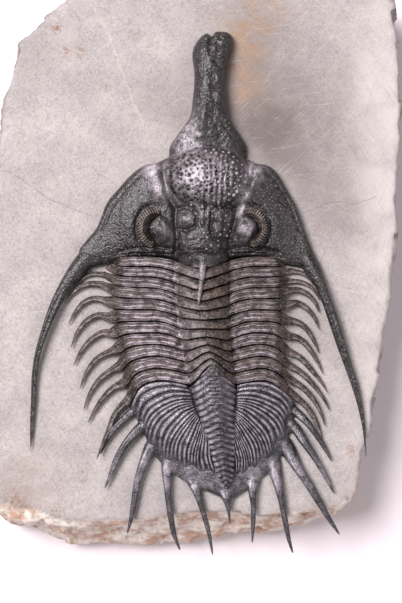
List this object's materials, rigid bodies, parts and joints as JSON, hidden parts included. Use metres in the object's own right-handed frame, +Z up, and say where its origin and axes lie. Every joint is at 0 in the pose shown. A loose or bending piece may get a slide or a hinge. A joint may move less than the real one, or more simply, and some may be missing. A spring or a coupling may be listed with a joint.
{
  "type": "trilobite fossil",
  "caption": "Long-snouted, spiny trilobite fossil in dark relief on a rough slab of pale limestone, its cheek and tail spines standing clear of the rock.",
  "frame": {"origin": "middle of the slab's flat underside", "axes": "+Y towards the animal's head, along the slab's length; +Z up, out of the top face that carries the animal; +X towards the animal's right"},
  "size_m": [0.1102, 0.1535, 0.0344],
  "materials": {
    "limestone": "matte pale grey limestone, ground flat on top and broken at the sides",
    "head_shell": "dark fossil shell, calcite, softly glossy, granular",
    "thorax_shell": "dark brown-grey fossil shell, calcite, softly glossy",
    "tail_shell": "dark bluish-grey fossil shell, calcite, glossy"
  },
  "bodies": {
    "root": {"limestone_slab": "limestone", "head_shield": "head_shell", "thoracic_segment_01": "thorax_shell", "thoracic_segment_02": "thorax_shell", "thoracic_segment_03": "thorax_shell", "thoracic_segment_04": "thorax_shell", "thoracic_segment_05": "thorax_shell", "thoracic_segment_06": "thorax_shell", "thoracic_segment_07": "thorax_shell", "thoracic_segment_08": "thorax_shell", "thoracic_segment_09": "thorax_shell", "thoracic_segment_10": "thorax_shell", "thoracic_segment_11": "thorax_shell", "tail_shield": "tail_shell"}
  },
  "joints": []
}
